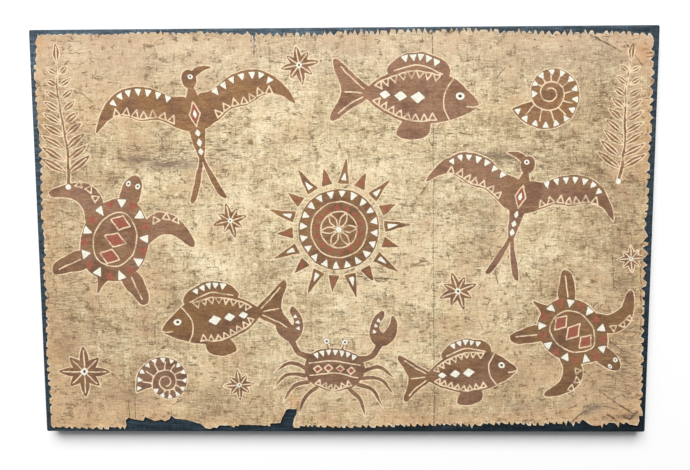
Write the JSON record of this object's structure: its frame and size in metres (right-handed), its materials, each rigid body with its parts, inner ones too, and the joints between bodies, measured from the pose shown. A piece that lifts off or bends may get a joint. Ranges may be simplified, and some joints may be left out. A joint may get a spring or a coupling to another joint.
{
  "type": "tapa cloth mounted on a cloth-covered board",
  "caption": "Wide sheet of beaten bark cloth with a hand-cut toothed edge, laid on a rigid board wrapped in dark woven cloth, as a picture panel.",
  "frame": {"origin": "on the surface that the panel lies on, under the middle of its back", "axes": "+X along the long side, +Y towards the top of the picture, +Z out of the picture's face"},
  "size_m": [0.91, 0.6, 0.0245],
  "materials": {
    "board": "bare plywood, matt",
    "cover_cloth": "dark blue-green plain woven cloth, matt",
    "tapa_cloth": "beaten bark cloth, fibrous and matt, with painted motifs"
  },
  "bodies": {
    "root": {"board": "board", "cover_cloth": "cover_cloth", "tapa_cloth": "tapa_cloth"}
  },
  "joints": []
}
